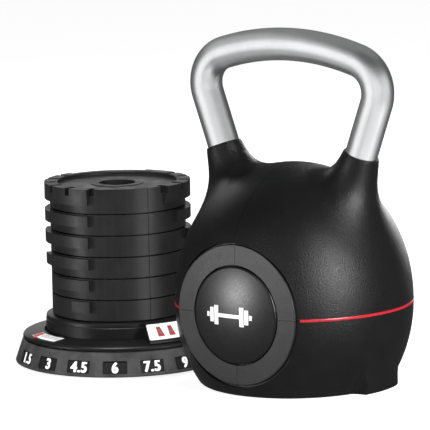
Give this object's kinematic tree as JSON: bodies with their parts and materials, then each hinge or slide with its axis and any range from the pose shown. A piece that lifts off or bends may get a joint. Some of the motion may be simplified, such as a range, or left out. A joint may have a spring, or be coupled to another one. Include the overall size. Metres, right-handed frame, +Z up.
{
  "type": "adjustable kettlebell",
  "caption": "Adjustable kettlebell standing beside its selector base: a hollow shell with a bent tube handle, and a turntable base carrying a keyed stack of weight plates.",
  "frame": {"origin": "on the floor, midway between the outer sides of the base and the kettlebell", "axes": "+Z up; +X from the base to the kettlebell, along the grip; -Y out of the front disc"},
  "size_m": [0.3853, 0.1878, 0.3048],
  "materials": {
    "base_plastic": "fine-grained satin black moulding, white printed numbers in the windows",
    "black_plastic": "fine-grained satin black moulding, lighter grained ring face round the cap",
    "plate_iron": "dark grey powder coat over cast iron, faint vertical streaks",
    "satin_steel": "satin silver, evenly brushed round the tube",
    "plated_steel": "plain zinc-plated, dull",
    "inner_plastic": "plain dark grey moulding",
    "rubber_foot": "matt black pads",
    "red_plastic": "semi-gloss red",
    "white_plastic": "plain white glide plastic",
    "printed_label": null
  },
  "bodies": {
    "base": {"number_ring": "base_plastic", "base_tray": "base_plastic", "selector_hub": "base_plastic", "centre_post": "base_plastic", "post_bolt": "plated_steel", "rubber_foot_1": "rubber_foot", "rubber_foot_2": "rubber_foot", "rubber_foot_3": "rubber_foot", "rubber_foot_4": "rubber_foot", "tray_screw_1": "plated_steel", "tray_screw_2": "plated_steel", "tray_screw_3": "plated_steel", "tray_screw_4": "plated_steel"},
    "turntable": {"turntable_cover": "base_plastic", "glide_ring": "white_plastic", "label_block_front": "base_plastic", "label_block_rear": "base_plastic", "label_plate_front": "printed_label", "label_plate_rear": "printed_label", "pointer": "red_plastic", "cover_label": "printed_label"},
    "plate_6": {"plate_6": "plate_iron"},
    "plate_5": {"plate_5": "plate_iron"},
    "plate_4": {"plate_4": "plate_iron"},
    "plate_3": {"plate_3": "plate_iron"},
    "plate_2": {"plate_2": "plate_iron"},
    "plate_1": {"plate_1": "plate_iron"},
    "kettlebell": {"shell_upper_left": "black_plastic", "shell_upper_right": "black_plastic", "shell_lower_left": "black_plastic", "shell_lower_right": "black_plastic", "waist_strip_left": "red_plastic", "waist_strip_right": "red_plastic", "front_cap": "black_plastic", "rear_cap": "black_plastic", "handle_tube": "satin_steel", "leg_plug_left": "plated_steel", "leg_plug_right": "plated_steel", "handle_bolt_left": "plated_steel", "handle_bolt_right": "plated_steel", "lifting_yoke": "plated_steel", "tab_column_left": "plated_steel", "tab_column_right": "plated_steel", "inner_sleeve": "inner_plastic", "foot_ring_front": "plated_steel", "foot_ring_rear": "plated_steel", "foot_screw_1": "plated_steel", "foot_screw_2": "plated_steel", "foot_screw_3": "plated_steel", "foot_screw_4": "plated_steel", "detent_housing": "inner_plastic", "detent_spring": "plated_steel"},
    "detent": {"detent_pin": "plated_steel"}
  },
  "joints": [
    {"name": "turntable_turn", "type": "hinge", "parent": "base", "child": "turntable", "pos_m": [-0.0987, 0, 0.025], "axis": [0, 0, 1], "range_deg": [0, 104]},
    {"name": "plate_6_lift", "type": "slide", "parent": "base", "child": "plate_6", "axis": [0, 0, 1], "range_m": [0, 0.11]},
    {"name": "plate_5_lift", "type": "slide", "parent": "plate_6", "child": "plate_5", "axis": [0, 0, 1], "range_m": [0, 0.11]},
    {"name": "plate_4_lift", "type": "slide", "parent": "plate_5", "child": "plate_4", "axis": [0, 0, 1], "range_m": [0, 0.11]},
    {"name": "plate_3_lift", "type": "slide", "parent": "plate_4", "child": "plate_3", "axis": [0, 0, 1], "range_m": [0, 0.11]},
    {"name": "plate_2_lift", "type": "slide", "parent": "plate_3", "child": "plate_2", "axis": [0, 0, 1], "range_m": [0, 0.11]},
    {"name": "plate_1_lift", "type": "slide", "parent": "plate_2", "child": "plate_1", "axis": [0, 0, 1], "range_m": [0, 0.11]},
    {"name": "kettlebell_lift", "type": "slide", "parent": "base", "child": "kettlebell", "axis": [0, 0, 1], "range_m": [0, 0.3]},
    {"name": "detent_slide", "type": "slide", "parent": "kettlebell", "child": "detent", "axis": [0, 0, 1], "range_m": [0, 0.0033], "stiffness_N_per_m": 800, "springref_m": -0.003, "deforming": ["detent_spring"]}
  ]
}
